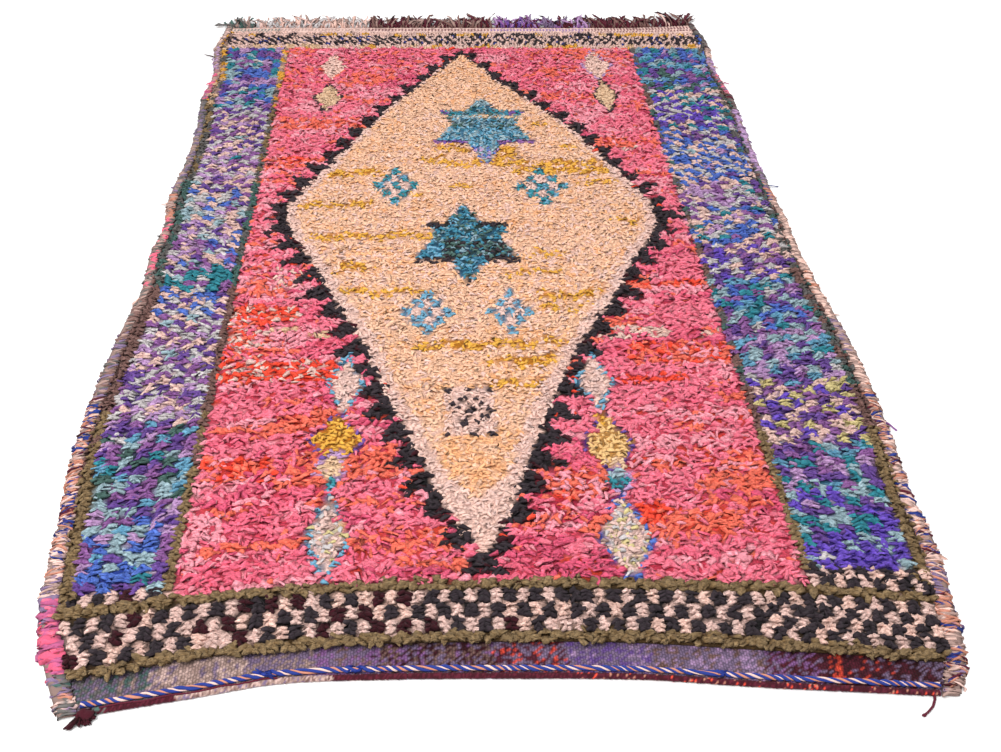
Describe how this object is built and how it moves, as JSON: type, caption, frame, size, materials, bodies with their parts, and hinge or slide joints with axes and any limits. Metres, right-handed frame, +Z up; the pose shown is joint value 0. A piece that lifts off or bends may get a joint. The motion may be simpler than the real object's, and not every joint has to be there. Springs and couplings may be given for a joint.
{
  "type": "boucherouite rug",
  "caption": "Flat rag-pile rug with a sawtooth diamond medallion, mottled side borders, checked end bands, wrapped edges, cut fringe and twined hem.",
  "frame": {"origin": "on the underside, on the centre line, halfway along the whole length with fringe and loose ends", "axes": "+Z up out of the pile, +Y along the rug towards its fringed far end, +X to the right seen from the near end"},
  "size_m": [1.5735, 2.4699, 0.0203],
  "materials": {
    "weave": "woven wool, matte",
    "rag_pile": "cut rag strips, matte",
    "wrapping": "wrapped yarn and rag, matte",
    "cord_yarn": "twisted yarn, matte",
    "fringe_yarn": "cut wool ends, matte",
    "dark_yarn": "knotted wool, matte"
  },
  "bodies": {
    "root": {"ground_weave": "weave", "pile": "rag_pile", "left_selvedge": "wrapping", "right_selvedge": "wrapping", "twined_cord": "cord_yarn", "far_fringe": "fringe_yarn", "corner_tassel": "dark_yarn", "corner_thread": "dark_yarn"}
  },
  "joints": []
}
